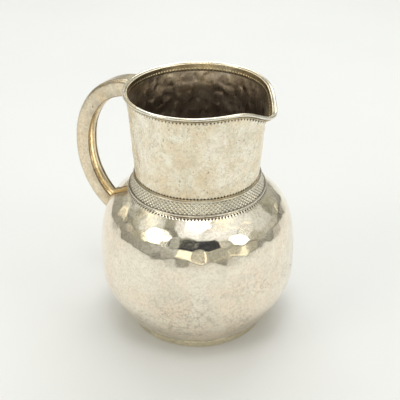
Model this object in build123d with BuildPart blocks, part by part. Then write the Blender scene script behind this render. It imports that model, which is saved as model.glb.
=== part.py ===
"""A silver water pitcher: raised bowl, tapering neck with a pulled spout, chased collar and hollow handle.

Millimetres, Z up. The foot rests on z = 0, the spout points along +X and the handle stands along -X.
"""

import math
import os

from build123d import *

# ---------------------------------------------------------------- driving dimensions
sheet = 0.9                     # thickness of the raised silver sheet
height = 200.0                  # height of the centre of the rim wire, away from the spout

base_height = 2.4               # the underside of the bowl hangs this far above the table
base_radius = 48.0              # flat disc in the middle of the underside
bowl_outline = [                # (radius, height) of the outside of the bowl, foot to shoulder
    (56.0, 5.6),
    (68.8, 21.0),
    (77.8, 40.0),
    (79.4, 60.0),
    (77.4, 85.0),
    (70.3, 104.8),
    (62.6, 113.3),
]

collar_low = (53.4, 120.4)      # where the shoulder turns up into the collar cone
collar_high = (48.8, 132.2)     # where the collar cone turns up into the neck
lower_wire = 0.9                # radius of the round wire under the woven band
upper_wire = 0.75               # radius of the round wire above it
band_thickness = 0.7            # thickness of the woven band between the two wires

neck_waist = 48.8               # outside radius at the bottom of the neck
neck_slope = 0.062              # the neck widens by this much for each millimetre of height
rim_radius = 55.1               # mean radius of the centre of the rim wire
rim_wire_radius = 1.3
bead_radius = 0.8               # the smaller wire soldered under the rim wire
out_of_round = 0.025            # the mouth is this much narrower from spout to handle

spout_reach = 7.6               # how far the lip is pulled out
spout_width = 20.0              # degrees either side over which it is pulled
spout_dip = 10.4                # how far the rim drops at the lip
spout_depth = 19.5              # how far down the neck the pull can be felt
solder = 0.07                   # film between the wires and the neck
handle_gap = 0.18               # film between the handle and the neck

foot_radius = 56.7
foot_height = 6.0
foot_width = 3.6                # width of the foot ring where it rests
foot_lean = 0.3                 # the outer face leans out by this much
foot_corner = 0.8

handle_path = [                 # (x, z) down the middle of the handle's outer face
    (-49.0, 200.4),
    (-56.0, 200.6),
    (-68.5, 198.3),
    (-86.3, 188.4),
    (-98.9, 173.5),
    (-105.9, 157.5),
    (-108.7, 138.8),
    (-107.4, 119.8),
    (-101.4, 102.2),
    (-90.8, 86.6),
    (-75.0, 73.6),
]
handle_depth = 13.0             # from the outer face to the edge of the side walls
handle_half_width = 6.3         # half the width along the grip
handle_flare = 3.6              # extra half width where the handle meets the rim
handle_wall = 1.0
handle_corner = 2.3             # rounding of the long outer edges
strip_recess = 0.9              # the closing strip starts this far below the wall edges
strip_crown = 1.9               # and rises this far in the middle

strip_thickness = 1.3
flare_end = 0.36                # share of the handle's length over which it narrows to the grip
handle_stations = [0, 0.08, 0.16, 0.25, 0.36, 0.5, 0.65, 0.8, 0.9, 1]

half_turn = [0, 7, 14, 21, 29, 40, 58, 82, 106, 131, 156, 180]   # degrees round from the spout
plain_top = 170.0               # below this the neck is a plain cone
shaped_levels = [179, 187, 194, height + 4]
dip_end = 57                    # degrees either side of the spout at which the rim is level again
dip_angles = range(-49, 50, 7)  # degrees at which the edge of the dip is placed


# ---------------------------------------------------------------- shared shapes
def offset_outline(points, distance):
    """The same open outline moved inwards by a distance, square to itself."""
    moved = []
    for index, (radius, level) in enumerate(points):
        before = points[max(index - 1, 0)]
        after = points[min(index + 1, len(points) - 1)]
        across = after[0] - before[0]
        along = after[1] - before[1]
        length = math.hypot(across, along)
        moved.append((radius - distance * along / length, level + distance * across / length))
    return moved


def between(first, second, share):
    """A point part of the way along a straight line."""
    return (
        first[0] + (second[0] - first[0]) * share,
        first[1] + (second[1] - first[1]) * share,
    )


def spout_share(angle):
    """How fully the lip is pulled out at an angle round from the spout, 1 to 0."""
    return math.exp(-((abs(angle) / math.radians(spout_width)) ** 1.6))


def rim_level(angle):
    """Height of the centre of the rim wire."""
    return height - spout_dip * math.exp(-((abs(angle) / math.radians(spout_width)) ** 2.2))


def rim_reach(angle):
    """Distance of the centre of the rim wire from the axis."""
    return rim_radius * (1 - out_of_round * math.cos(2 * angle)) + spout_reach * spout_share(angle)


def neck_reach(angle, level):
    """Distance of the outside of the neck from the axis."""
    cone = neck_waist + neck_slope * (level - collar_high[1])
    below = (rim_level(angle) - level) / spout_depth
    share = (1 - below) ** 2 if 0 < below < 1 else (1 - 2 * below if below <= 0 else 0.0)
    return cone + (rim_reach(angle) - rim_wire_radius - cone) * share


def neck_section(level, inset):
    """Points round the neck at one height, from the handle round by the spout."""
    points = []
    for degrees in [*(-step for step in reversed(half_turn[1:])), *half_turn[:-1]]:
        angle = math.radians(degrees)
        reach = neck_reach(angle, level) - inset
        points.append((reach * math.cos(angle), reach * math.sin(angle)))
    return points


def wire_curve(radius, down):
    """Half the centre line of a wire that lies against the neck, this far down from the rim line."""
    points = []
    for degrees in half_turn:
        angle = math.radians(degrees)
        level = rim_level(angle) - down
        reach = neck_reach(angle, level) + radius + solder
        points.append((reach * math.cos(angle), reach * math.sin(angle), level))
    return points


# ---------------------------------------------------------------- bowl
outer_wall = [(base_radius, base_height), *bowl_outline, collar_low]
inner_wall = offset_outline(outer_wall, sheet)
inner_wall[0] = (base_radius, base_height + sheet)
seam_outer = between(collar_low, collar_high, 0.5)
cone_side = offset_outline([collar_low, collar_high], sheet)
inner_wall[-1] = between(inner_wall[-1], cone_side[0], 0.5)
seam_inner = between(cone_side[0], cone_side[1], 0.5)

with BuildPart() as bowl:
    with BuildSketch(Plane.XZ):
        with BuildLine():
            Line((0, base_height), outer_wall[0])
            Spline(*outer_wall)
            Polyline(collar_low, seam_outer, seam_inner, inner_wall[-1])
            Spline(*reversed(inner_wall))
            Polyline(inner_wall[0], (0, base_height + sheet), (0, base_height))
        make_face()
    revolve(axis=Axis.Z)
bowl.part.label = "bowl"

# The space the bowl takes up, filled in, for fitting the foot and the handle to it.
with BuildPart() as bowl_filled:
    with BuildSketch(Plane.XZ):
        with BuildLine():
            Line((0, base_height), outer_wall[0])
            Spline(*outer_wall)
            Line(collar_low, (0, collar_low[1]))
            Line((0, collar_low[1]), (0, base_height))
        make_face()
    revolve(axis=Axis.Z)


# ---------------------------------------------------------------- neck and spout
def neck_loft(inset):
    """The shaped top of the neck as a filled solid, round at the bottom where the plain cone ends."""
    with BuildPart() as shaped:
        with BuildSketch(Plane(origin=(0, 0, plain_top), x_dir=(-1, 0, 0), z_dir=(0, 0, 1))):
            Circle(neck_reach(math.pi, plain_top) - inset)
        for level in shaped_levels:
            with BuildSketch(Plane.XY.offset(level)):
                with BuildLine():
                    Spline(*neck_section(level, inset), periodic=True)
                make_face()
        loft()
    return shaped.part


neck_outside = neck_loft(0)
neck_inside = neck_loft(sheet)

# Everything above the rim: level all round, with the dip of the lip cut in from the spout side.
clear_side = 90.0               # further out than any part of the mouth
clear_length = 120.0
clear_rise = 20.0
dip_half = (rim_reach(math.radians(dip_end)) * math.sin(math.radians(dip_end)), height)
dip_edge = [(-dip_half[0], height)]
for degrees in dip_angles:
    angle = math.radians(degrees)
    dip_edge.append((rim_reach(angle) * math.sin(angle), rim_level(angle)))
dip_edge.append(dip_half)

with BuildPart() as above_rim:
    with BuildSketch(Plane.YZ):
        with BuildLine():
            Spline(*dip_edge, tangents=[(1, 0), (1, 0)], tangent_scalars=(1, 1))
            Polyline(
                dip_half,
                (clear_side, height),
                (clear_side, height + clear_rise),
                (-clear_side, height + clear_rise),
                (-clear_side, height),
                dip_edge[0],
            )
        make_face()
    extrude(amount=clear_length)
    with Locations((-clear_length / 2, 0, height + clear_rise / 2)):
        Box(clear_length, 2 * clear_side, clear_rise)

cone_top = (neck_reach(math.pi, plain_top), plain_top)
with BuildPart() as neck:
    add(neck_outside)
    add(neck_inside, mode=Mode.SUBTRACT)
    add(above_rim.part, mode=Mode.SUBTRACT)
    with BuildSketch(Plane.XZ):
        with BuildLine():
            Polyline(
                seam_outer,
                collar_high,
                cone_top,
                (cone_top[0] - sheet, cone_top[1]),
                (collar_high[0] - sheet, collar_high[1]),
                seam_inner,
                close=True,
            )
        make_face()
    revolve(axis=Axis.Z)
neck.part.label = "neck"


# ---------------------------------------------------------------- rim wires
def half_wire(points, radius):
    """Round wire along a curve that starts and ends square to the XZ plane."""
    with BuildPart() as half:
        with BuildLine() as path:
            Spline(*points, tangents=[(0, 1, 0), (0, -1, 0)], tangent_scalars=(1, 1))
        with BuildSketch(Plane(origin=points[0], z_dir=(0, 1, 0))):
            Circle(radius)
        sweep(path=path.wires()[0])
    return half.part


with BuildPart() as rim_wire:
    add(half_wire(wire_curve(rim_wire_radius, 0), rim_wire_radius))
    mirror(about=Plane.XZ)
rim_wire.part.label = "rim_wire"

with BuildPart() as rim_bead:
    add(half_wire(wire_curve(bead_radius, rim_wire_radius + bead_radius + solder), bead_radius))
    mirror(about=Plane.XZ)
rim_bead.part.label = "rim_bead"


# ---------------------------------------------------------------- collar
cone_length = math.dist(collar_low, collar_high)
cone_along = ((collar_high[0] - collar_low[0]) / cone_length, (collar_high[1] - collar_low[1]) / cone_length)
cone_out = (cone_along[1], -cone_along[0])


def on_cone(along, outward):
    """A point measured up the collar cone and out from it."""
    return (
        collar_low[0] + cone_along[0] * along + cone_out[0] * outward,
        collar_low[1] + cone_along[1] * along + cone_out[1] * outward,
    )


wire_gap = 0.4
lower_along = wire_gap + lower_wire
upper_along = cone_length - wire_gap - upper_wire

with BuildPart() as collar_lower_wire:
    with BuildSketch(Plane.XZ):
        with Locations(on_cone(lower_along, lower_wire)):
            Circle(lower_wire)
    revolve(axis=Axis.Z)
collar_lower_wire.part.label = "collar_lower_wire"

with BuildPart() as collar_upper_wire:
    with BuildSketch(Plane.XZ):
        with Locations(on_cone(upper_along, upper_wire)):
            Circle(upper_wire)
    revolve(axis=Axis.Z)
collar_upper_wire.part.label = "collar_upper_wire"

band_low = lower_along + lower_wire
band_high = upper_along - upper_wire
with BuildPart() as collar_band:
    with BuildSketch(Plane.XZ):
        with BuildLine():
            Polyline(
                on_cone(band_low, 0),
                on_cone(band_low, band_thickness),
                on_cone(band_high, band_thickness),
                on_cone(band_high, 0),
                close=True,
            )
        make_face()
    revolve(axis=Axis.Z)
collar_band.part.label = "collar_band"


# ---------------------------------------------------------------- foot ring
with BuildPart() as foot_ring:
    with BuildSketch(Plane.XZ) as foot_section:
        with BuildLine():
            Polyline(
                (foot_radius - foot_width, 0),
                (foot_radius, 0),
                (foot_radius + foot_lean, foot_height),
                (foot_radius - foot_width, foot_height),
                close=True,
            )
        make_face()
        fillet(foot_section.vertices().group_by(Axis.Y)[0], radius=foot_corner)
    revolve(axis=Axis.Z)
    add(bowl_filled.part, mode=Mode.SUBTRACT)
foot_ring.part.label = "foot_ring"


# ---------------------------------------------------------------- handle
with BuildLine(Plane.XZ) as handle_line:
    Spline(*handle_path)
handle_edge = handle_line.edges()[0]


def handle_plane(share):
    """Plane across the handle: local X is across the grip, local Y points in towards the neck."""
    return Plane(origin=handle_edge @ share, x_dir=(0, 1, 0), z_dir=handle_edge % share)


def half_width(share):
    """Half the width of the handle, flared towards the rim."""
    return handle_half_width + handle_flare * max(0.0, 1 - share / flare_end) ** 1.5


# What the upper end of the handle is fitted to: the back of the neck and the two wires under its edge.
step_level = height - 2 * (rim_wire_radius + bead_radius) - 0.1
fit_level = 185.0
back = math.radians(170)
wire_clear = rim_reach(back) + rim_wire_radius + solder
with BuildPart() as neck_back:
    with BuildSketch(Plane.XZ):
        with BuildLine():
            Polyline(
                (0, plain_top),
                (neck_reach(back, plain_top) + handle_gap, plain_top),
                (neck_reach(back, fit_level) + handle_gap, fit_level),
                (neck_reach(back, step_level) + handle_gap, step_level),
                (wire_clear, step_level),
                (wire_clear, height + clear_rise),
                (0, height + clear_rise),
                close=True,
            )
        make_face()
    revolve(axis=Axis.Z)


with BuildPart() as handle_channel:
    for share in handle_stations:
        width = 2 * half_width(share)
        with BuildSketch(handle_plane(share)) as channel_section:
            with Locations((0, handle_depth / 2)):
                Rectangle(width, handle_depth)
            fillet(channel_section.vertices().group_by(Axis.Y)[0], radius=handle_corner)
            with Locations((0, handle_wall + handle_depth / 2)):
                Rectangle(width - 2 * handle_wall, handle_depth, mode=Mode.SUBTRACT)
    loft()
    add(neck_back.part, mode=Mode.SUBTRACT)
    add(bowl_filled.part, mode=Mode.SUBTRACT)
handle_channel.part.label = "handle_channel"

with BuildPart() as handle_inner_strip:
    for share in handle_stations:
        side = half_width(share) - handle_wall
        edge = handle_depth - strip_recess
        with BuildSketch(handle_plane(share)):
            with BuildLine():
                Line((-side, edge), (-side, edge - strip_thickness))
                Line((-side, edge - strip_thickness), (side, edge - strip_thickness))
                Line((side, edge - strip_thickness), (side, edge))
                ThreePointArc((side, edge), (0, edge + strip_crown), (-side, edge))
            make_face()
    loft()
    add(neck_back.part, mode=Mode.SUBTRACT)
    add(bowl_filled.part, mode=Mode.SUBTRACT)
handle_inner_strip.part.label = "handle_inner_strip"


# ---------------------------------------------------------------- write the pieces
os.makedirs("parts", exist_ok=True)
export_step(bowl.part, "parts/bowl.step")
export_step(neck.part, "parts/neck.step")
export_step(rim_wire.part, "parts/rim_wire.step")
export_step(rim_bead.part, "parts/rim_bead.step")
export_step(collar_band.part, "parts/collar_band.step")
export_step(collar_upper_wire.part, "parts/collar_upper_wire.step")
export_step(collar_lower_wire.part, "parts/collar_lower_wire.step")
export_step(foot_ring.part, "parts/foot_ring.step")
export_step(handle_channel.part, "parts/handle_channel.step")
export_step(handle_inner_strip.part, "parts/handle_inner_strip.step")
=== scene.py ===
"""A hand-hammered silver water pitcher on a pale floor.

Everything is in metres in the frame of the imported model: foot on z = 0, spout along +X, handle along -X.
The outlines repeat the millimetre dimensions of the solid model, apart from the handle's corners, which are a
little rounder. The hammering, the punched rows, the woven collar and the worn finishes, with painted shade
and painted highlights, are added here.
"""

import math

import bpy
import numpy as np
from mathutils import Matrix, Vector, noise as wander
from mathutils.kdtree import KDTree


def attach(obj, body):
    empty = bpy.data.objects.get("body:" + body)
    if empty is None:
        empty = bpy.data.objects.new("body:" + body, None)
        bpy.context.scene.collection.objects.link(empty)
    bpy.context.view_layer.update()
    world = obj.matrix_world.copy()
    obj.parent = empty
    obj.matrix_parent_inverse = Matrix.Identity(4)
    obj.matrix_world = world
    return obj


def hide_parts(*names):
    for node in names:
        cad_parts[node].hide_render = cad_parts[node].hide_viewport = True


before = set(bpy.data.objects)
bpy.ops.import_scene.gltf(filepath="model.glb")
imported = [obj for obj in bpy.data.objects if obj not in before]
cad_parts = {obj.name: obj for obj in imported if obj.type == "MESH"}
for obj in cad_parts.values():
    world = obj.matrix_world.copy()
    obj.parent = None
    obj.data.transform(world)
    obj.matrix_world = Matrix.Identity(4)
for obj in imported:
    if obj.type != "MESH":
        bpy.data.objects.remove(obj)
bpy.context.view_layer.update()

MM = 0.001
TAU = 2 * math.pi

# ---------------------------------------------------------------- dimensions, millimetres
SHEET = 0.9
HEIGHT = 200.0
BASE_HEIGHT = 2.4
BASE_RADIUS = 48.0
BOWL_OUTLINE = [
    (BASE_RADIUS, BASE_HEIGHT),
    (56.0, 5.6),
    (68.8, 21.0),
    (77.8, 40.0),
    (79.4, 60.0),
    (77.4, 85.0),
    (70.3, 104.8),
    (62.6, 113.3),
    (53.4, 120.4),
]
COLLAR_LOW = (53.4, 120.4)
COLLAR_HIGH = (48.8, 132.2)
LOWER_WIRE = 0.9
UPPER_WIRE = 0.75
BAND_THICKNESS = 0.7
WIRE_GAP = 0.4
NECK_WAIST = 48.8
NECK_SLOPE = 0.062
RIM_RADIUS = 55.1
RIM_WIRE = 1.3
BEAD = 0.8
OUT_OF_ROUND = 0.025
SPOUT_REACH = 7.6
SPOUT_WIDTH = math.radians(20.0)
SPOUT_DIP = 10.4
SPOUT_DEPTH = 19.5
SOLDER = 0.07
FOOT_RADIUS = 56.7
FOOT_HEIGHT = 6.0
FOOT_WIDTH = 3.6
HANDLE_PATH = [
    (-49.0, 200.4),
    (-56.0, 200.6),
    (-68.5, 198.3),
    (-86.3, 188.4),
    (-98.9, 173.5),
    (-105.9, 157.5),
    (-108.7, 138.8),
    (-107.4, 119.8),
    (-101.4, 102.2),
    (-90.8, 86.6),
    (-75.0, 73.6),
]
HANDLE_DEPTH = 13.0
HANDLE_HALF_WIDTH = 6.3
HANDLE_FLARE = 3.6
HANDLE_WALL = 1.0
HANDLE_CORNER = 3.0
STRIP_RECESS = 0.9
STRIP_CROWN = 1.9
STRIP_THICKNESS = 1.3
FLARE_END = 0.36                # share of the handle's length over which it flares to the rim
HANDLE_ENDS = (0.012, 0.998)    # shares of its path at which it stops
NECK_JOINT = 150.0              # above this height the handle has to keep out of the neck

# ---------------------------------------------------------------- surface detail, millimetres
BOWL_FACET = 7.6                # spacing of the hammer marks on the bowl
NECK_FACET = 10.0               # on the outside of the neck
INSIDE_FACET = 9.0              # on its inside
MARK_JITTER = 0.24              # how far a mark strays from its place, in spacings
MARK_ROW = 0.9                  # between rows of marks, in spacings
NEAREST_MARKS = 5               # how many of the marks round it shape a point
TEETH_RIM = 128                 # punched triangles round the neck under the rim
TEETH_NECK = 120                # round the neck above the collar
TEETH_BOWL = 132                # round the shoulder under the collar
TOOTH_DEPTH = 0.32
RIM_TEETH_AT = 3.1              # wide edge of the row under the rim, below the rim's edge
NECK_TEETH_AT = 0.2             # wide edge of the row above the collar, above its cone
BUMP_HEIGHT = 0.45              # the raised dots inside the mouth
BUMPS_AT = 4.1                  # their middles, below the rim's edge
BUMP_SHADE_AT = 5.3             # painted shade under them
BEAD_SHADE_AT = 2.9             # painted shade under the wires, outside
LIP_DEPTH = 5.2                 # how far down the inside the browner metal of the lip reaches
WEAVE_COUNT = 94                # crossings round the woven band
WEAVE_ROWS = 2.75               # crossings from its lower edge to its upper edge
WEAVE_FLOOR = 0.22              # thickness of the band between its strands
PLAIN_EDGE = 1.0                # left unmarked at the ends of the bowl's outline
CRINKLE_LEVEL = 66.0            # the crinkled tarnish of the bowl fades out towards this height
CRINKLE_TILT = 26.0             # and climbs this much higher on one side
CRINKLE_SIDE = math.radians(-20.0)
CRINKLE_FADE = 30.0             # over this height
CREASE_DEPTH = 0.05
BOWL_WRINKLE = 0.028            # height of the fine unevenness of the bowl
NECK_WRINKLE = 0.035            # of the neck
HANDLE_WRINKLE = 0.16           # of the handle
FOOT_SHADE = 15.0               # the bowl takes painted shade below this height

# ---------------------------------------------------------------- spacing of the meshes, millimetres
COARSE_STEP = 0.75              # between rows of the bowl
FINE_STEP = 0.25                # between those that carry its punched row
FINE_ZONE = 6.0                 # how far those reach from its edge
NECK_STEP = 0.2                 # between rows of the neck that carry a punched row
NECK_LOW_ZONE = 3.0             # how far those reach up from the collar
NECK_TOP_ZONE = 6.0             # and down from the rim
NECK_MIDDLE_ROWS = 62
RIM_COLUMNS = 720               # points round each wire of the rim
RING_COLUMNS = 480              # points round each wire of the collar
FOOT_COLUMNS = 360
HANDLE_ROWS = 230
CENTRE_HOLE = 0.05              # the bowl's two floors stop this far from the axis


# ---------------------------------------------------------------- helpers
def around(count):
    """Evenly spaced angles of a full turn."""
    return np.arange(count) * TAU / count


def wrapped(angle):
    """The same angle between -pi and pi, 0 being the middle of the spout."""
    return (angle + math.pi) % TAU - math.pi


def unit(rows):
    return rows / np.linalg.norm(rows, axis=-1, keepdims=True)


def eased(value, start, length):
    """0 up to start and 1 from start + length on, straight between them."""
    return np.clip((value - start) / length, 0, 1)


def peaked(value, middle, half):
    """1 at the middle, 0 from half away on."""
    return np.clip(1 - np.abs(value - middle) / half, 0, 1)


def towards(azimuth, elevation):
    """Direction from the pitcher, in degrees. Azimuth 0 is the -Y side and 90 the +X side."""
    turn, rise = math.radians(azimuth), math.radians(elevation)
    return Vector((math.sin(turn) * math.cos(rise), -math.cos(turn) * math.cos(rise), math.sin(rise)))


# ---------------------------------------------------------------- outlines
def cubic(points, shares):
    """A natural cubic spline through a few points, by chord length, at shares 0..1 of its parameter."""
    given = np.array(points, float)
    knots = np.r_[0, np.cumsum(np.linalg.norm(np.diff(given, axis=0), axis=1))]
    gaps = np.diff(knots)
    size = len(given)
    system = np.eye(size)
    bends = np.zeros_like(given)
    slopes = np.diff(given, axis=0) / gaps[:, None]
    for k in range(1, size - 1):
        system[k, k - 1 : k + 2] = gaps[k - 1], 2 * (gaps[k - 1] + gaps[k]), gaps[k]
        bends[k] = 6 * (slopes[k] - slopes[k - 1])
    bends = np.linalg.solve(system, bends)
    at = np.asarray(shares) * knots[-1]
    k = np.clip(np.searchsorted(knots, at, side="right") - 1, 0, size - 2)
    back = (knots[k + 1] - at)[:, None]
    ahead = (at - knots[k])[:, None]
    gap = gaps[k][:, None]
    return (
        (bends[k] * back**3 + bends[k + 1] * ahead**3) / (6 * gap)
        + (given[k] / gap - bends[k] * gap / 6) * back
        + (given[k + 1] / gap - bends[k + 1] * gap / 6) * ahead
    )


def spout_share(angle):
    return np.exp(-((np.abs(angle) / SPOUT_WIDTH) ** 1.6))


def rim_level(angle):
    return HEIGHT - SPOUT_DIP * np.exp(-((np.abs(angle) / SPOUT_WIDTH) ** 2.2))


def rim_reach(angle):
    return RIM_RADIUS * (1 - OUT_OF_ROUND * np.cos(2 * angle)) + SPOUT_REACH * spout_share(angle)


def neck_reach(angle, level):
    cone = NECK_WAIST + NECK_SLOPE * (level - COLLAR_HIGH[1])
    below = (rim_level(angle) - level) / SPOUT_DEPTH
    share = np.where(below <= 0, 1 - 2 * below, np.clip(1 - below, 0, 1) ** 2)
    return cone + (rim_reach(angle) - RIM_WIRE - cone) * share


CONE_LENGTH = math.dist(COLLAR_LOW, COLLAR_HIGH)
CONE_ALONG = np.array([COLLAR_HIGH[0] - COLLAR_LOW[0], COLLAR_HIGH[1] - COLLAR_LOW[1]]) / CONE_LENGTH
CONE_OUT = np.array([CONE_ALONG[1], -CONE_ALONG[0]])


def on_cone(along, outward):
    """(radius, height) of a point measured up the collar cone and out from it."""
    return np.array(COLLAR_LOW) + CONE_ALONG * along + CONE_OUT * outward


# ---------------------------------------------------------------- mesh building
def grid_object(name, points, along=False, materials=(), material_of_row=None, marks=None):
    """A smooth grid of quads, closed round its columns. points is rows x columns x 3, in millimetres.

    along joins the last row to the first, and marks holds named values for every point.
    """
    rows, columns = points.shape[:2]
    mesh = bpy.data.meshes.new(name)
    row_count = rows if along else rows - 1
    r = np.arange(row_count)[:, None]
    c = np.arange(columns)[None, :]
    r2, c2 = (r + 1) % rows, (c + 1) % columns
    corners = np.stack([r * columns + c, r * columns + c2, r2 * columns + c2, r2 * columns + c], -1)
    corners = corners.reshape(-1, 4)
    one, two, three, four = (points.reshape(-1, 3)[corners[:, k]] for k in range(4))
    if (np.cross(two - one, three - one) * one + np.cross(three - one, four - one) * one).sum() < 0:
        corners = corners[:, ::-1].copy()
    mesh.vertices.add(rows * columns)
    mesh.vertices.foreach_set("co", (points * MM).reshape(-1).astype(np.float32))
    mesh.loops.add(corners.size)
    mesh.loops.foreach_set("vertex_index", corners.reshape(-1).astype(np.int32))
    mesh.polygons.add(len(corners))
    mesh.polygons.foreach_set("loop_start", np.arange(0, corners.size, 4, dtype=np.int32))
    mesh.polygons.foreach_set("use_smooth", np.ones(len(corners), bool))
    if material_of_row is not None:
        index = np.repeat(np.asarray(material_of_row)[:row_count], columns)
        mesh.polygons.foreach_set("material_index", index.astype(np.int32))
    for key, values in (marks or {}).items():
        layer = mesh.attributes.new(key, "FLOAT", "POINT")
        layer.data.foreach_set("value", values.reshape(-1).astype(np.float32))
    mesh.update(calc_edges=True)
    mesh.validate()
    made = bpy.data.objects.new(name, mesh)
    bpy.context.scene.collection.objects.link(made)
    for material in materials:
        mesh.materials.append(material)
    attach(made, "root")
    return made


def turned(profile, angles):
    """rows x columns x 3: a (radius, height) outline carried round the axis."""
    profile = np.asarray(profile, float)
    x = profile[:, None, 0] * np.cos(angles)[None]
    y = profile[:, None, 0] * np.sin(angles)[None]
    z = np.repeat(profile[:, 1:2], len(angles), 1)
    return np.stack([x, y, z], -1)


def grid_normals(points):
    """Unit normals of a grid that closes round its columns, away from the middles of its rows."""
    across = np.roll(points, -1, 1) - np.roll(points, 1, 1)
    along = np.gradient(points, axis=0)
    normals = np.cross(across, along)
    normals /= np.maximum(np.linalg.norm(normals, axis=-1, keepdims=True), 1e-9)
    if (normals * (points - points.mean(1, keepdims=True))).sum() < 0:
        normals = -normals
    return normals


def struck(points, normals, strikes, tilt, depth, seed):
    """Distance along each point's normal to the flats of the nearest hammer marks, and to their centres."""
    rng = np.random.default_rng(seed)
    places, flats = strikes
    flats = unit(flats + rng.normal(0, tilt, flats.shape))
    sunk = rng.uniform(-depth, 0.0, len(places))
    tree = KDTree(len(places))
    for k, place in enumerate(places):
        tree.insert(place, k)
    tree.balance()
    each = points.reshape(-1, 3)
    hits = [tree.find_n(point, NEAREST_MARKS) for point in each]
    nearest = np.array([[hit[1] for hit in found] for found in hits])
    away = np.array([[hit[2] for hit in found] for found in hits])
    facing = normals.reshape(-1, 1, 3)
    planes = flats[nearest]
    lift = ((places[nearest] - each[:, None]) * planes).sum(-1) / (planes * facing).sum(-1)
    return lift + sunk[nearest], away


def hammered(points, normals, strikes, softness, tilt, depth, seed):
    """Lift that turns every hammer mark on a rounded surface into a small flat with soft edges."""
    lift = struck(points, normals, strikes, tilt, depth, seed)[0]
    lowest = lift.min(1, keepdims=True)
    soft = lowest[:, 0] - softness * np.log(np.exp(-(lift - lowest) / softness).sum(1))
    return soft.reshape(points.shape[:2])


def planished(points, normals, strikes, reach, tilt, depth, seed):
    """Lift for a flatter surface: each point follows the marks nearest to it."""
    lift, away = struck(points, normals, strikes, tilt, depth, seed)
    weight = np.exp(-((away / reach) ** 2)) + 1e-9
    return ((lift * weight).sum(1) / weight.sum(1)).reshape(points.shape[:2])


def wrinkled(points, size, octaves):
    """Fractal unevenness, about -1 to 1, for every point of a grid. size is its largest feature."""
    values = [wander.fractal(Vector(point) / size, 1.0, 2.0, octaves) for point in points.reshape(-1, 3)]
    return np.array(values).reshape(points.shape[:2])


def creases(points, size, width, shift):
    """1 on the crinkled lines where a fractal crosses zero, 0 between them. shift picks another pattern."""
    value = wrinkled(points + np.array([shift, 0.0, shift]), size, 4)
    return np.clip(1 - np.abs(value) / width, 0, 1)


def strike_rows(surface, normal, first, last, spacing, seed):
    """Places and normals of hammer marks, in staggered rows on a surface given by (distance up it, angle)."""
    rng = np.random.default_rng(seed)
    places, flats = [], []
    level = first
    row = 0
    while level < last:
        radius = surface(level, 0.0)[0]
        count = max(6, round(TAU * abs(radius) / spacing))
        for k in range(count):
            angle = (k + 0.5 * (row % 2) + rng.uniform(-MARK_JITTER, MARK_JITTER)) * TAU / count
            at = level + rng.uniform(-MARK_JITTER, MARK_JITTER) * spacing
            places.append(surface(at, angle))
            flats.append(normal(at, angle))
        level += spacing * MARK_ROW
        row += 1
    return np.array(places), np.array(flats)


def teeth(angles, distance, count, length, width):
    """1 inside each punched triangle, 0 outside. distance runs from the wide edge (0) to the point.

    width is half of the wide edge, as a share of the triangles' spacing.
    """
    across = np.abs((angles * count / TAU) % 1 - 0.5)
    reach = distance / length
    half = width * (1 - reach)
    inside = np.clip((half - across) / 0.10, 0, 1)
    return inside * ((reach >= 0) & (reach <= 1))


# ---------------------------------------------------------------- materials
def nodes_of(name):
    material = bpy.data.materials.new(name)
    material.use_nodes = True
    tree = material.node_tree
    tree.nodes.clear()
    out = tree.nodes.new("ShaderNodeOutputMaterial")
    shader = tree.nodes.new("ShaderNodeBsdfPrincipled")
    tree.links.new(shader.outputs[0], out.inputs["Surface"])
    return material, tree, shader


def noise(tree, scale, detail, rough, distortion=0.0, kind="FBM"):
    place = tree.nodes.new("ShaderNodeTexCoord")
    made = tree.nodes.new("ShaderNodeTexNoise")
    made.noise_type = kind
    made.inputs["Scale"].default_value = scale
    made.inputs["Detail"].default_value = detail
    made.inputs["Roughness"].default_value = rough
    made.inputs["Distortion"].default_value = distortion
    tree.links.new(place.outputs["Object"], made.inputs["Vector"])
    return made.outputs["Fac"]


def ramp(tree, source, low, high, to_low=0.0, to_high=1.0):
    made = tree.nodes.new("ShaderNodeMapRange")
    made.inputs["From Min"].default_value = low
    made.inputs["From Max"].default_value = high
    made.inputs["To Min"].default_value = to_low
    made.inputs["To Max"].default_value = to_high
    tree.links.new(source, made.inputs["Value"])
    return made.outputs["Result"]


def mix(tree, share, first, second):
    made = tree.nodes.new("ShaderNodeMix")
    made.data_type = "RGBA"
    for socket, value in ((made.inputs[0], share), (made.inputs[6], first), (made.inputs[7], second)):
        if isinstance(value, tuple):
            socket.default_value = (*value, 1.0)
        elif isinstance(value, float):
            socket.default_value = value
        else:
            tree.links.new(value, socket)
    return made.outputs[2]


def maths(tree, kind, first, second):
    made = tree.nodes.new("ShaderNodeMath")
    made.operation = kind
    for socket, value in ((made.inputs[0], first), (made.inputs[1], second)):
        if isinstance(value, (int, float)):
            socket.default_value = value
        else:
            tree.links.new(value, socket)
    return made.outputs[0]


def veins(tree, scale, low, high):
    """Crinkled lines, as on foil that was pressed flat: 1 along the ridges, 0 between them."""
    return ramp(tree, noise(tree, scale, 4.0, 0.55, 0.5, "RIDGED_MULTIFRACTAL"), low, high)


DARK = (0.050, 0.038, 0.026)    # the grime in pits and punched marks, and painted shade in grooves, corners and under the wires
PAINTED_GLINT = (1.0, 0.97, 0.90)       # painted highlights along the crinkled lines


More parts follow.
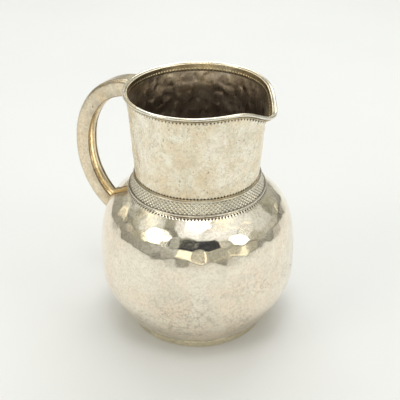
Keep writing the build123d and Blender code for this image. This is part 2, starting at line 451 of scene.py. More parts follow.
def silver(
    name, clean, warm, rough, bump, warm_range=(0.45, 0.70), stain=(0.72, 0.70, 0.62),
    pits=0.0, lines=0.0, grain=0.5, grime_and_shade=False, shaded=(),
):
    """Aged silver: clean metal, warm and grey tarnish in soft patches, dark pits, hair lines with painted
    glints, and dark hollows of grime and painted shade.

    The marks of the mesh, when asked for, darken the metal with grime and painted shade, and shaded paints
    shade on the metal below its two heights, in metres.
    """
    material, tree, shader = nodes_of(name)
    shader.inputs["Metallic"].default_value = 1.0
    colour = mix(tree, ramp(tree, noise(tree, 26.0, 6.0, 0.62, 0.6), *warm_range), clean, warm)
    grey = ramp(tree, noise(tree, 47.0, 6.0, 0.66, 1.0), 0.48, 0.66, 0.0, 0.9)
    colour = mix(tree, grey, colour, stain)
    bright = ramp(tree, noise(tree, 73.0, 4.0, 0.6, 0.6), 0.52, 0.68, 0.0, 0.8)
    colour = mix(tree, bright, colour, tuple(min(1.0, 1.05 * v) for v in clean))
    mottle = ramp(tree, noise(tree, 480.0, 4.0, 0.70, 0.8), 0.47, 0.60, 0.0, grain)
    colour = mix(tree, mottle, colour, tuple(0.74 * v for v in warm))
    level = ramp(tree, noise(tree, 85.0, 5.0, 0.65), 0.3, 0.7, rough * 0.7, rough * 1.35)
    fine = noise(tree, 640.0, 5.0, 0.7)
    if pits:
        where = ramp(tree, noise(tree, 34.0, 3.0, 0.6), 0.42, 0.62)
        spots = ramp(tree, noise(tree, 520.0, 2.0, 0.5, 1.0), 0.66, 0.72)
        spots = maths(tree, "MULTIPLY", maths(tree, "MULTIPLY", spots, where), pits)
        colour = mix(tree, spots, colour, DARK)
        level = maths(tree, "ADD", level, maths(tree, "MULTIPLY", spots, 0.3))
    if lines:
        where = ramp(tree, noise(tree, 17.0, 5.0, 0.65), 0.44, 0.58, 0.12, 1.0)
        crinkle = maths(tree, "MULTIPLY", veins(tree, 190.0, 0.62, 0.92), where)
        # painted glints: light lines along the crinkles, standing in for highlights
        painted_glints = maths(tree, "MULTIPLY", veins(tree, 150.0, 0.66, 0.90), where)
        colour = mix(tree, maths(tree, "MULTIPLY", painted_glints, 0.8 * lines), colour, PAINTED_GLINT)
        colour = mix(tree, maths(tree, "MULTIPLY", crinkle, lines), colour, tuple(0.42 * v for v in warm))
        fine = maths(tree, "SUBTRACT", fine, maths(tree, "MULTIPLY", crinkle, 0.8))
    if shaded:
        place = tree.nodes.new("ShaderNodeTexCoord")
        split = tree.nodes.new("ShaderNodeSeparateXYZ")
        tree.links.new(place.outputs["Object"], split.inputs[0])
        ragged = ramp(tree, noise(tree, 55.0, 4.0, 0.6), 0.3, 0.7, -0.012, 0.012)
        rising = maths(tree, "ADD", split.outputs["Z"], ragged)
        colour = mix(tree, ramp(tree, rising, *shaded, 0.85, 0.0), colour, tuple(0.55 * v for v in warm))
    if grime_and_shade:
        # the marked places are darkened by grime and by painted shade in grooves, corners and under the wires
        mark = tree.nodes.new("ShaderNodeAttribute")
        mark.attribute_name = "grime_and_shade"
        held = mark.outputs["Fac"]
        colour = mix(tree, held, colour, DARK)
        level = maths(tree, "ADD", level, maths(tree, "MULTIPLY", held, 0.35))
    tree.links.new(colour, shader.inputs["Base Color"])
    tree.links.new(level, shader.inputs["Roughness"])
    relief = tree.nodes.new("ShaderNodeBump")
    relief.inputs["Distance"].default_value = bump
    relief.inputs["Strength"].default_value = 0.8
    tree.links.new(maths(tree, "ADD", fine, noise(tree, 190.0, 5.0, 0.6, 0.8)), relief.inputs["Height"])
    tree.links.new(relief.outputs[0], shader.inputs["Normal"])
    return material


bowl_silver = silver(
    "bowl_silver", clean=(0.96, 0.90, 0.77), warm=(0.96, 0.83, 0.67), rough=0.10, bump=0.00004,
    warm_range=(0.40, 0.66), stain=(0.85, 0.79, 0.66), pits=0.35, lines=0.75, grain=0.55, grime_and_shade=True,
)
neck_silver = silver(
    "neck_silver", clean=(0.99, 0.93, 0.80), warm=(0.88, 0.75, 0.54), rough=0.30, bump=0.00012,
    warm_range=(0.42, 0.60), stain=(0.74, 0.67, 0.51), pits=0.9, lines=0.50, grain=0.55, grime_and_shade=True,
)
wire_silver = silver(
    "wire_silver", clean=(0.98, 0.95, 0.87), warm=(0.86, 0.72, 0.50), rough=0.17, bump=0.00003,
    warm_range=(0.46, 0.70), grime_and_shade=True,
)
band_silver = silver(
    "band_silver", clean=(0.92, 0.87, 0.75), warm=(0.80, 0.70, 0.52), rough=0.28, bump=0.00002, grime_and_shade=True,
)
foot_silver = silver(
    "foot_silver", clean=(0.97, 0.91, 0.74), warm=(0.86, 0.76, 0.56), rough=0.19, bump=0.00004,
    warm_range=(0.35, 0.65), stain=(0.78, 0.72, 0.57), pits=0.4, grain=0.7,
)
handle_silver = silver(
    "handle_silver", clean=(0.92, 0.82, 0.66), warm=(0.78, 0.62, 0.41), rough=0.20, bump=0.00008,
    warm_range=(0.36, 0.64), stain=(0.66, 0.60, 0.47), pits=0.7, lines=0.35, grain=0.6, grime_and_shade=True,
)
strip_silver = silver(
    "strip_silver", clean=(0.92, 0.78, 0.54), warm=(0.72, 0.55, 0.32), rough=0.22, bump=0.00006,
    warm_range=(0.36, 0.64), stain=(0.50, 0.42, 0.28), pits=0.6, lines=0.30, grain=0.6, grime_and_shade=True,
)
inside_silver = silver(
    "inside_silver", clean=(0.90, 0.81, 0.68), warm=(0.66, 0.57, 0.49), rough=0.34, bump=0.00012,
    warm_range=(0.36, 0.56), stain=(0.80, 0.67, 0.46), pits=0.4, grain=0.6, grime_and_shade=True,
    shaded=(0.168, 0.192),
)
lip_silver = silver(
    "lip_silver", clean=(0.80, 0.70, 0.50), warm=(0.56, 0.45, 0.28), rough=0.30, bump=0.00010,
    warm_range=(0.36, 0.62), stain=(0.45, 0.38, 0.27), pits=0.6, grain=0.7, grime_and_shade=True,
)


# ---------------------------------------------------------------- bowl
def along_profile(points, step):
    """Evenly spaced (radius, height) points on a dense outline."""
    run = np.r_[0, np.cumsum(np.linalg.norm(np.diff(points, axis=0), axis=1))]
    count = max(2, round(run[-1] / step) + 1)
    at = np.linspace(0, run[-1], count)
    return np.stack([np.interp(at, run, points[:, 0]), np.interp(at, run, points[:, 1])], -1)


seam = (np.array(COLLAR_LOW) + np.array(COLLAR_HIGH)) / 2
bowl_curve = cubic(BOWL_OUTLINE, np.linspace(0, 1, 1500))
bowl_run = np.r_[0, np.cumsum(np.linalg.norm(np.diff(bowl_curve, axis=0), axis=1))]
bowl_length = bowl_run[-1]


def on_bowl(distance):
    """(radius, height) at a distance along the bowl's outline."""
    radius = np.interp(distance, bowl_run, bowl_curve[:, 0])
    return np.stack([radius, np.interp(distance, bowl_run, bowl_curve[:, 1])], -1)


def bowl_at(distance, angle):
    radius, level = on_bowl(distance)
    return np.array([radius * math.cos(angle), radius * math.sin(angle), level])


def bowl_normal(distance, angle):
    before, after = on_bowl(np.array([distance - 0.4, distance + 0.4]))
    across, up = after - before
    size = math.hypot(across, up)
    return np.array([up / size * math.cos(angle), up / size * math.sin(angle), -across / size])


bowl_angles = around(TEETH_BOWL * 6)
fine_start = bowl_length - FINE_ZONE
fine_levels = np.arange(fine_start, bowl_length, FINE_STEP)
levels = np.r_[np.arange(0, fine_start, COARSE_STEP), fine_levels, bowl_length]
bowl_points = turned(on_bowl(levels), bowl_angles)
bowl_out = grid_normals(bowl_points)
bowl_strikes = strike_rows(bowl_at, bowl_normal, 2.0, bowl_length - PLAIN_EDGE, BOWL_FACET, seed=11)
lift = hammered(bowl_points, bowl_out, bowl_strikes, softness=0.045, tilt=0.017, depth=0.22, seed=12)
worn_level = CRINKLE_LEVEL - bowl_points[..., 2] + CRINKLE_TILT * np.cos(bowl_angles - CRINKLE_SIDE)
worn = np.clip(worn_level / CRINKLE_FADE, 0.15, 1.0)
crinkled = np.clip(0.75 + 1.5 * wrinkled(bowl_points + 300.0, size=26.0, octaves=3), 0, 1) * worn
coarse = creases(bowl_points, size=7.0, width=0.13, shift=0.0)
crease = np.maximum(coarse, 0.7 * creases(bowl_points, size=4.0, width=0.12, shift=500.0)) * crinkled
lift += BOWL_WRINKLE * wrinkled(bowl_points, size=6.0, octaves=4) * worn - CREASE_DEPTH * crease
below_seam = bowl_length - levels
fade = eased(below_seam, PLAIN_EDGE, 6.0) * eased(levels, PLAIN_EDGE, 5.0)
tooth = teeth(bowl_angles[None], (below_seam - PLAIN_EDGE)[:, None], TEETH_BOWL, length=2.1, width=0.40)
bowl_points += bowl_out * (lift * fade[:, None] - TOOTH_DEPTH * tooth)[..., None]

base = np.array([(CENTRE_HOLE, BASE_HEIGHT), (BASE_RADIUS - 4, BASE_HEIGHT), (BASE_RADIUS - 1, BASE_HEIGHT)])
run_step = unit(np.gradient(bowl_curve, axis=0))
inner_curve = bowl_curve + SHEET * np.stack([-run_step[:, 1], run_step[:, 0]], -1)
inner = along_profile(inner_curve, 2.0)[::-1]
cap = [tuple(seam), tuple(seam - SHEET * CONE_OUT)]
inner_floor = [(BASE_RADIUS - 2, BASE_HEIGHT + SHEET), (CENTRE_HOLE, BASE_HEIGHT + SHEET)]
bowl_grid = np.concatenate([
    turned(base, bowl_angles),
    bowl_points,
    turned(cap, bowl_angles),
    turned(inner, bowl_angles),
    turned(inner_floor, bowl_angles),
])
outside_rows = len(base) + len(levels)
patchy = 0.5 + wrinkled(bowl_points, size=9.0, octaves=5)
# painted shade on the lower bowl, in patches, growing towards the foot
shade_near_foot = 0.55 * eased(FOOT_SHADE - bowl_points[..., 2], 0.0, 11.0) * np.clip(patchy, 0, 1)
bowl_grime_and_shade = np.zeros(bowl_grid.shape[:2])
bowl_grime_and_shade[len(base) : outside_rows] = np.maximum(tooth, np.maximum(shade_near_foot, 0.40 * crease))
bowl = grid_object(
    "bowl_hammered", bowl_grid, materials=(bowl_silver, inside_silver),
    material_of_row=[0] * outside_rows + [1] * (len(bowl_grid) - outside_rows), marks={"grime_and_shade": bowl_grime_and_shade},
)
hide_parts("bowl")

# ---------------------------------------------------------------- neck
neck_angles = around(TEETH_RIM * 8)
top = rim_level(wrapped(neck_angles))
low = COLLAR_HIGH[1]
middle_low = low + NECK_LOW_ZONE
middle_high = top - NECK_TOP_ZONE - NECK_STEP
neck_levels = np.concatenate([
    low + np.arange(0, NECK_LOW_ZONE, NECK_STEP)[:, None] + 0 * top[None],
    middle_low + (middle_high - middle_low)[None] * np.linspace(0, 1, NECK_MIDDLE_ROWS)[:, None],
    top[None] - np.arange(NECK_TOP_ZONE, 2.4, -NECK_STEP)[:, None],
    top[None] - np.array([2.0, 1.2, 0.4, 0.0])[:, None],
])
reach = neck_reach(wrapped(neck_angles)[None], neck_levels)
neck_points = np.stack([reach * np.cos(neck_angles), reach * np.sin(neck_angles), neck_levels], -1)
neck_out = grid_normals(neck_points)
below_rim = top[None] - neck_levels
above_collar = neck_levels - low


def neck_at(level, angle):
    radius = float(neck_reach(np.array(wrapped(angle)), np.array(level)))
    return np.array([radius * math.cos(angle), radius * math.sin(angle), level])


def neck_normal(level, angle):
    here = neck_at(level, angle)
    side = neck_at(level, angle + 0.01) - here
    up = neck_at(level + 0.3, angle) - here
    return unit(np.cross(side, up))


outer_strikes = strike_rows(neck_at, neck_normal, low + 1, HEIGHT - 1, NECK_FACET, seed=21)
lift = planished(neck_points, neck_out, outer_strikes, 0.36 * NECK_FACET, tilt=0.022, depth=0.10, seed=22)
pitted = np.clip(0.15 + 2.2 * wrinkled(neck_points + 700.0, size=18.0, octaves=3), 0, 1)
crease = creases(neck_points, size=5.5, width=0.06, shift=100.0) * pitted
lift += NECK_WRINKLE * wrinkled(neck_points, size=7.0, octaves=4) - CREASE_DEPTH * crease
fade = eased(above_collar, 1.8, 6.0) * eased(below_rim, 3.0, 5.0)
rim_teeth = teeth(neck_angles[None], below_rim - RIM_TEETH_AT, TEETH_RIM, length=2.3, width=0.42)
neck_teeth = teeth(neck_angles[None], above_collar - NECK_TEETH_AT, TEETH_NECK, length=2.2, width=0.47)
punched = np.maximum(rim_teeth, neck_teeth)
outer_neck = neck_points + neck_out * (lift * fade - TOOTH_DEPTH * punched)[..., None]

inner_strikes = strike_rows(neck_at, neck_normal, low + 1, HEIGHT - 1, INSIDE_FACET, seed=23)
dents = planished(neck_points, neck_out, inner_strikes, 0.30 * INSIDE_FACET, tilt=0.040, depth=0.22, seed=24)
dents = np.clip(dents, -0.45, 0.30) * eased(below_rim, 5.0, 4.0) * eased(above_collar, 1.0, 5.0)
dot_across = ((neck_angles * TEETH_RIM / TAU) % 1 - 0.5)[None] / 0.34
bumps = np.clip(1 - dot_across**2 - (below_rim - BUMPS_AT) ** 2, 0, 1)
inner_neck = (neck_points - neck_out * (SHEET + dents + BUMP_HEIGHT * bumps)[..., None])[::-1]
edge = (outer_neck[-1:] + inner_neck[:1]) / 2 + np.array([0, 0, 0.18])
flare = np.array([seam, (seam + np.array(COLLAR_HIGH)) / 2, np.array(COLLAR_HIGH) - CONE_ALONG * 0.1])
inner_flare = flare[::-1] - SHEET * CONE_OUT
neck_grid = np.concatenate([
    turned(flare, neck_angles), outer_neck, edge, inner_neck, turned(inner_flare, neck_angles),
])
outside_rows = len(flare) + len(outer_neck) + 1
lip_rows = int((below_rim[:, 0] < LIP_DEPTH).sum())
inside_rows = len(neck_grid) - outside_rows - lip_rows
neck_grime_and_shade = np.zeros(neck_grid.shape[:2])
# painted shade in a band under the rim wires, outside
shade_under_bead = 0.8 * peaked(below_rim, BEAD_SHADE_AT, 0.45)
# painted shade in a band under the raised dots inside the mouth
shade_behind_bumps = 0.9 * peaked(below_rim, BUMP_SHADE_AT, 0.6)
neck_grime_and_shade[len(flare) : outside_rows - 1] = np.maximum(punched, np.maximum(shade_under_bead, 0.38 * crease))
neck_grime_and_shade[outside_rows : outside_rows + len(inner_neck)] = shade_behind_bumps[::-1]
neck = grid_object(
    "neck_hammered", neck_grid, along=True, materials=(neck_silver, inside_silver, lip_silver),
    material_of_row=[0] * outside_rows + [2] * lip_rows + [1] * inside_rows, marks={"grime_and_shade": neck_grime_and_shade},
)
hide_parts("neck")


# ---------------------------------------------------------------- wires
def tube(name, path, radius, material, sides, wobble, seed, held=(0.0, 1.0)):
    """Round wire along a closed path of points in millimetres, very slightly uneven as drawn by hand.

    held gives how much painted shade lies on its upper and its lower side, where it meets its neighbours.
    """
    rng = np.random.default_rng(seed)
    count = len(path)
    ahead = unit(np.roll(path, -1, 0) - np.roll(path, 1, 0))
    side = unit(np.cross(ahead, [0.0, 0.0, 1.0]))
    up = np.cross(side, ahead)
    turn = around(sides)
    waves = sum(
        np.sin(np.arange(count) * TAU * k / count + rng.uniform(0, TAU)) * rng.uniform(0.3, 1)
        for k in (9, 17, 31, 52)
    )
    size = radius * (1 - wobble * (1 + waves / 4) / 2)
    ring = side[:, None] * np.cos(turn)[None, :, None] + up[:, None] * np.sin(turn)[None, :, None]
    # painted shade along the sides where the wire meets its neighbours
    grime_and_shade = held[0] * eased(np.sin(turn), 0.55, 0.35) + held[1] * eased(-np.sin(turn), 0.55, 0.35)
    return grid_object(
        name, path[:, None] + ring * size[:, None, None], along=True, materials=(material,),
        marks={"grime_and_shade": np.repeat(grime_and_shade[None], count, 0)},
    )


def neck_path(radius, down):
    """Middle line of a wire of this radius round the neck, down from the edge of the rim."""
    angles = around(RIM_COLUMNS)
    turn = wrapped(angles)
    level = rim_level(turn) - down
    reach = neck_reach(turn, level) + radius + SOLDER
    return np.stack([reach * np.cos(angles), reach * np.sin(angles), level], -1)


def collar_path(along, radius):
    """Middle line of a wire of this radius, laid on the collar's cone."""
    reach, level = on_cone(along, radius)
    angles = around(RING_COLUMNS)
    return np.stack([reach * np.cos(angles), reach * np.sin(angles), np.full(RING_COLUMNS, level)], -1)


rim_wire = tube(
    "rim_wire_round", neck_path(RIM_WIRE, 0.0), RIM_WIRE, wire_silver, sides=18, wobble=0.06, seed=31,
)
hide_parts("rim_wire")
rim_bead = tube(
    "rim_bead_round", neck_path(BEAD, RIM_WIRE + BEAD + SOLDER), BEAD, lip_silver, sides=12, wobble=0.06,
    seed=32, held=(0.9, 0.9),
)
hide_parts("rim_bead")

lower_along = WIRE_GAP + LOWER_WIRE
upper_along = CONE_LENGTH - WIRE_GAP - UPPER_WIRE
lower_wire = tube(
    "collar_lower_round", collar_path(lower_along, LOWER_WIRE), LOWER_WIRE, wire_silver, sides=14,
    wobble=0.05, seed=33, held=(0.8, 0.8),
)
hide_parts("collar_lower_wire")
upper_wire = tube(
    "collar_upper_round", collar_path(upper_along, UPPER_WIRE), UPPER_WIRE, wire_silver, sides=14,
    wobble=0.05, seed=34, held=(0.6, 0.8),
)
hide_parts("collar_upper_wire")

# ---------------------------------------------------------------- woven band
band_low = lower_along + LOWER_WIRE
band_high = upper_along - UPPER_WIRE
band_angles = around(WEAVE_COUNT * 12)
share = np.linspace(0, 1, 47)
rising = band_angles[None] * WEAVE_COUNT / TAU + share[:, None] * WEAVE_ROWS
falling = band_angles[None] * WEAVE_COUNT / TAU - share[:, None] * WEAVE_ROWS
over = (np.floor(rising) + np.floor(falling)) % 2 == 0
side_one, side_two = rising % 1 - 0.5, falling % 1 - 0.5
across = np.where(over, side_one, side_two)
along = np.where(over, side_two, side_one)
pillow = np.sqrt(np.clip(1 - np.abs(across / 0.42) ** 2.2, 0, 1)) * (1 - 0.75 * np.abs(2 * along) ** 2.4)
rise = WEAVE_FLOOR + (BAND_THICKNESS - WEAVE_FLOOR) * pillow
band_profile = np.array([on_cone(band_low + (band_high - band_low) * s, 0) for s in share])
band_out = turned(CONE_OUT[None], band_angles)
face = turned(band_profile, band_angles) + band_out * rise[..., None]
band_grid = np.concatenate([face, turned(band_profile[[-1, 0]], band_angles)])
# darker between the strands, and dark on the hidden back rows
band_darkening = np.concatenate([1 - np.clip(pillow * 2.8, 0, 1), np.ones((2, len(band_angles)))])
band = grid_object(
    "collar_woven", band_grid, along=True, materials=(band_silver,), marks={"grime_and_shade": band_darkening * 0.9},
)
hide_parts("collar_band")

# ---------------------------------------------------------------- foot ring
FOOT_INSIDE = FOOT_RADIUS - FOOT_WIDTH
foot_outer = [
    (FOOT_INSIDE + 0.5, 0.0),
    (FOOT_RADIUS - 0.9, 0.0),
    (FOOT_RADIUS - 0.35, 0.15),
    (FOOT_RADIUS - 0.05, 0.6),
    (FOOT_RADIUS + 0.05, 1.6),
    (FOOT_RADIUS + 0.15, 3.2),
    (FOOT_RADIUS + 0.28, 5.0),
    (FOOT_RADIUS + 0.2, FOOT_HEIGHT - 0.25),
    (FOOT_RADIUS - 0.1, FOOT_HEIGHT - 0.02),
]
seat = bowl_curve[(bowl_curve[:, 1] < FOOT_HEIGHT - 0.1) & (bowl_curve[:, 0] > FOOT_INSIDE)][::-8]
foot_loop = foot_outer + [tuple(place) for place in seat] + [(FOOT_INSIDE, 3.0), (FOOT_INSIDE, 0.5)]
foot_profile = along_profile(np.array(foot_loop + foot_loop[:1]), 0.35)[:-1]
foot_points = turned(foot_profile, around(FOOT_COLUMNS))
foot = grid_object("foot_ring_band", foot_points, along=True, materials=(foot_silver,))
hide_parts("foot_ring")

# ---------------------------------------------------------------- handle
handle_share = np.linspace(*HANDLE_ENDS, HANDLE_ROWS)
handle_spine = cubic(HANDLE_PATH, handle_share)
spine_ahead = unit(np.gradient(handle_spine, axis=0))
spine_in = np.stack([-spine_ahead[:, 1], spine_ahead[:, 0]], -1)
half_widths = HANDLE_HALF_WIDTH + HANDLE_FLARE * np.maximum(0.0, 1 - handle_share / FLARE_END) ** 1.5


def swept(sections):
    """Rows of section points, (across, inwards) in millimetres, carried along the handle's spine."""
    x = handle_spine[:, None, 0] + spine_in[:, None, 0] * sections[..., 1]
    z = handle_spine[:, None, 1] + spine_in[:, None, 1] * sections[..., 1]
    return np.stack([x, sections[..., 0], z], -1)


def fitted(points):
    """The same points, kept out of the neck, the rim wires and the bowl."""
    level = points[..., 2]
    reach = np.hypot(points[..., 0], points[..., 1])
    back = math.pi - math.radians(10.0)
    under_wires = level < HEIGHT - 2 * (RIM_WIRE + BEAD) - 0.1
    upper = np.where(under_wires, neck_reach(back, level) + 0.12, rim_reach(back) + RIM_WIRE + 0.02)
    lower = np.interp(level, bowl_curve[:, 1], bowl_curve[:, 0]) - 0.3
    least = np.where(level > NECK_JOINT, upper, np.where(level < COLLAR_LOW[1], lower, 0.0))
    grow = np.maximum(1.0, least / reach)
    return points * np.stack([grow, grow, np.ones_like(grow)], -1)


def line(start, end, count):
    """Points from start up to, and without, end."""
    shares = np.linspace(0, 1, count, endpoint=False)[:, None]
    return np.array(start) * (1 - shares) + np.array(end) * shares


def channel_section(half):
    """Round the folded channel: up one side, over the outer face, down the other, back along the inside."""
    turn = np.linspace(0, math.pi / 2, 6, endpoint=False)
    left = np.stack([-half + HANDLE_CORNER * (1 - np.cos(turn)), HANDLE_CORNER * (1 - np.sin(turn))], -1)
    right = np.stack([half - HANDLE_CORNER * (1 - np.sin(turn)), HANDLE_CORNER * (1 - np.cos(turn))], -1)
    inside = half - HANDLE_WALL
    return np.concatenate([
        line((-half, HANDLE_DEPTH), (-half, HANDLE_CORNER), 11),
        left,
        line((-half + HANDLE_CORNER, 0), (half - HANDLE_CORNER, 0), 10),
        right,
        line((half, HANDLE_CORNER), (half, HANDLE_DEPTH - 0.2), 11),
        [(half - 0.2, HANDLE_DEPTH), (inside + 0.2, HANDLE_DEPTH)],
        line((inside, HANDLE_DEPTH - 0.2), (inside, HANDLE_WALL), 7),
        line((inside, HANDLE_WALL), (-inside, HANDLE_WALL), 4),
        line((-inside, HANDLE_WALL), (-inside, HANDLE_DEPTH), 7),
    ])


def strip_section(half):
    """The crowned strip between the two side walls, with its flat back."""
    side, edge = half - HANDLE_WALL, HANDLE_DEPTH - STRIP_RECESS
    bow = np.linspace(-1, 1, 17)
    front = np.stack([side * bow, edge + STRIP_CROWN * (1 - bow**2)], -1)
    return np.concatenate([front, [(side, edge - STRIP_THICKNESS), (-side, edge - STRIP_THICKNESS)]])


channel_sections = np.array([channel_section(half) for half in half_widths])
channel_points = swept(channel_sections)
uneven = HANDLE_WRINKLE * wrinkled(channel_points, size=13.0, octaves=3) - 0.05
across, depth = np.abs(channel_sections[..., 0]), channel_sections[..., 1]
wide = half_widths[:, None]
skin = (across > wide - 0.5) | (depth < 0.5)
channel_points = fitted(channel_points + grid_normals(channel_points) * (uneven * skin)[..., None])
# painted shade in the groove between the side walls and the strip
groove_shade = 0.5 * eased(depth - HANDLE_DEPTH, -1.6, 1.2) * (across < wide - 0.3)
# the walls darker towards their inner edges, in patches
darker_inwards = 0.22 * eased(depth, 6.5, 5.0) * (0.8 + wrinkled(channel_points, size=16.0, octaves=4))
# painted dark reflection along the rounded outer corners
corners = 0.30 * peaked(depth, 0.9, 1.8) * (across > wide - HANDLE_CORNER - 0.5)
channel_shade_and_darkening = np.maximum(groove_shade, np.clip(np.maximum(darker_inwards, corners), 0, 1) * skin)
channel = grid_object(
    "handle_channel_folded", channel_points, materials=(handle_silver,), marks={"grime_and_shade": channel_shade_and_darkening},
)
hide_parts("handle_channel")

strip_sections = np.array([strip_section(half) for half in half_widths])
# painted shade along the strip's edges, in the grooves by the side walls
strip_groove_shade = 0.75 * eased(np.abs(strip_sections[..., 0]) - wide + HANDLE_WALL, -1.3, 1.2)
strip_points = fitted(swept(strip_sections))
strip = grid_object(
    "handle_strip_crowned", strip_points, materials=(strip_silver,), marks={"grime_and_shade": strip_groove_shade},
)
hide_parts("handle_inner_strip")

# ---------------------------------------------------------------- floor
floor_material, floor_tree, floor_shader = nodes_of("pale_floor")
floor_patches = ramp(floor_tree, noise(floor_tree, 3.0, 3.0, 0.5), 0.3, 0.7)
floor_colour = mix(floor_tree, floor_patches, (0.790, 0.797, 0.812), (0.815, 0.822, 0.836))
floor_tree.links.new(floor_colour, floor_shader.inputs["Base Color"])
floor_shader.inputs["Roughness"].default_value = 0.75
bpy.ops.mesh.primitive_circle_add(vertices=96, radius=15.0, fill_type="NGON", location=(0, 0, 0))
floor = bpy.context.object
floor.name = "floor"
floor.data.materials.append(floor_material)

# ---------------------------------------------------------------- the room that the silver reflects
world = bpy.data.worlds.new("room")
bpy.context.scene.world = world
bpy.context.scene.view_settings.view_transform = "Standard"
world.use_nodes = True
sky = world.node_tree
sky.nodes.clear()
sky_out = sky.nodes.new("ShaderNodeOutputWorld")
sky_light = sky.nodes.new("ShaderNodeBackground")
sky_place = sky.nodes.new("ShaderNodeTexCoord")
sky_split = sky.nodes.new("ShaderNodeSeparateXYZ")
sky_ramp = sky.nodes.new("ShaderNodeValToRGB")
sky.links.new(sky_place.outputs["Generated"], sky_split.inputs[0])
sky.links.new(sky_split.outputs["Z"], sky_ramp.inputs["Fac"])
ROOM_STRENGTH = 1.52
BACKDROP = (0.66, 0.66, 0.65)
ROOM_SHADOW = (0.05, 0.05, 0.045)
ROOM_LEVELS = [                 # colour of the walls by the sine of the elevation
    (0.0, (0.70, 0.70, 0.67)),
    (0.004, ROOM_SHADOW),
    (0.028, (0.06, 0.06, 0.05)),
    (0.045, (0.26, 0.26, 0.235)),
    (0.30, (0.38, 0.38, 0.35)),
    (0.62, (0.50, 0.51, 0.48)),
    (1.0, (0.86, 0.88, 0.89)),
]
elements = sky_ramp.color_ramp.elements
for position, colour in ROOM_LEVELS[1:-1]:
    elements.new(position)
for element, (position, colour) in zip(elements, ROOM_LEVELS):
    element.position = position
    element.color = (*colour, 1)


def room_noise(scale, detail):
    """Outputs of a noise over the directions of the room."""
    made = sky.nodes.new("ShaderNodeTexNoise")
    made.inputs["Scale"].default_value = scale
    made.inputs["Detail"].default_value = detail
    sky.links.new(sky_place.outputs["Generated"], made.inputs["Vector"])
    return made.outputs


def room_patch(under, azimuth, elevation, wide, tall, colour):
    """under with a soft-edged oval of another colour on the wall of the room. Angles in degrees."""
    forward = towards(azimuth, elevation)
    right = towards(azimuth + 90, 0)
    shares = []
    for direction, size in ((right, wide), (forward.cross(right), tall), (forward, None)):
        dot = sky.nodes.new("ShaderNodeVectorMath")
        dot.operation = "DOT_PRODUCT"
        dot.inputs[1].default_value = direction
        sky.links.new(sky_place.outputs["Generated"], dot.inputs[0])
        if size is None:
            shares.append(ramp(sky, dot.outputs["Value"], 0.0, 0.1))
        else:
            reach = maths(sky, "DIVIDE", dot.outputs["Value"], math.sin(math.radians(size)))
            shares.append(maths(sky, "POWER", reach, 2))
    inside = ramp(sky, maths(sky, "ADD", shares[0], shares[1]), 0.85, 1.15, 1.0, 0.0)
    return mix(sky, maths(sky, "MULTIPLY", inside, shares[2]), under, colour)


dull = ramp(sky, room_noise(2.1, 3.0)["Fac"], 0.44, 0.62)
room = mix(sky, dull, sky_ramp.outputs["Color"], (0.27, 0.268, 0.215))
lit = ramp(sky, room_noise(2.9, 2.0)["Fac"], 0.55, 0.66)
room = mix(sky, lit, room, (0.95, 0.88, 0.68))
shifted = sky.nodes.new("ShaderNodeVectorMath")
shifted.operation = "MULTIPLY_ADD"
shifted.inputs[1].default_value = (0.5, 0.5, 0.5)
sky.links.new(room_noise(3.5, 4.0)["Color"], shifted.inputs[0])
sky.links.new(sky_place.outputs["Generated"], shifted.inputs[2])
frames = sky.nodes.new("ShaderNodeTexVoronoi")
frames.feature = "DISTANCE_TO_EDGE"
frames.inputs["Scale"].default_value = 1.3
sky.links.new(shifted.outputs[0], frames.inputs["Vector"])
room = mix(sky, ramp(sky, frames.outputs["Distance"], 0.012, 0.030, 0.85, 0.0), room, ROOM_SHADOW)
above = ramp(sky, sky_split.outputs["Z"], 0.03, 0.06)
room = mix(sky, above, sky_ramp.outputs["Color"], room)
room = room_patch(room, azimuth=-80, elevation=12, wide=34, tall=9, colour=(0.24, 0.24, 0.21))
room = room_patch(room, azimuth=25, elevation=37, wide=24, tall=9, colour=(0.03, 0.032, 0.037))
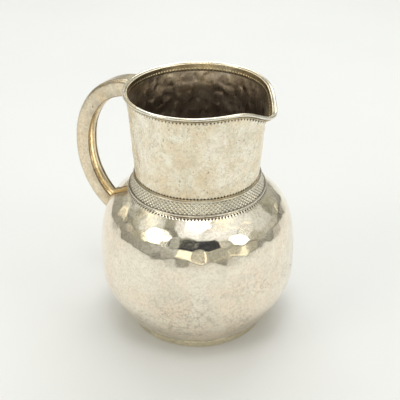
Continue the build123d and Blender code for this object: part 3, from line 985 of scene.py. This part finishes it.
# The room shows only in the silver: behind the pitcher there is a plain pale backdrop.
seen = sky.nodes.new("ShaderNodeLightPath")
room = mix(sky, seen.outputs["Is Camera Ray"], room, BACKDROP)
sky.links.new(room, sky_light.inputs["Color"])
sky.links.new(sky_light.outputs[0], sky_out.inputs["Surface"])
sky_light.inputs["Strength"].default_value = ROOM_STRENGTH

# ---------------------------------------------------------------- lights
AIM = Vector((0.0, 0.0, 0.09))
WARM_LIGHT = (1.0, 0.96, 0.84)
COOL_LIGHT = (0.97, 0.99, 1.0)


def softbox(name, azimuth, elevation, distance, width, tall, power, colour):
    """A soft area light aimed at the pitcher. Metres, degrees and watts."""
    light = bpy.data.lights.new(name, "AREA")
    light.shape = "RECTANGLE"
    light.size = width
    light.size_y = tall
    light.energy = power
    light.color = colour
    made = bpy.data.objects.new(name, light)
    made.location = AIM + distance * towards(azimuth, elevation)
    made.rotation_euler = (AIM - made.location).to_track_quat("-Z", "Y").to_euler()
    bpy.context.scene.collection.objects.link(made)


softbox("window_left", -35, 38, 1.6, 0.62, 0.5, 2.8, WARM_LIGHT)
softbox("window_right", 85, 35, 1.7, 0.6, 0.5, 2.4, WARM_LIGHT)
softbox("window_back", 200, 55, 1.8, 1.6, 1.0, 12.0, COOL_LIGHT)
softbox("overhead", 25, 76, 1.8, 0.5, 0.4, 3.6, COOL_LIGHT)

# ---------------------------------------------------------------- camera
VIEW_AZIMUTH = math.radians(25.0)
VIEW_PITCH = math.radians(30.15)
VIEW_DISTANCE = 0.61905
VIEW_HEIGHT = 0.10476
VIEW_SIDE = 0.00211
lens = bpy.data.cameras.new("view")
lens.lens = 69.21
lens.sensor_width = 36.0
camera = bpy.data.objects.new("view", lens)
flat = VIEW_DISTANCE * math.cos(VIEW_PITCH)
camera.location = (
    flat * math.sin(VIEW_AZIMUTH) + VIEW_SIDE * math.cos(VIEW_AZIMUTH),
    -flat * math.cos(VIEW_AZIMUTH) + VIEW_SIDE * math.sin(VIEW_AZIMUTH),
    VIEW_HEIGHT + VIEW_DISTANCE * math.sin(VIEW_PITCH),
)
camera.rotation_euler = (math.pi / 2 - VIEW_PITCH, 0.0, VIEW_AZIMUTH)
bpy.context.scene.collection.objects.link(camera)
bpy.context.scene.camera = camera
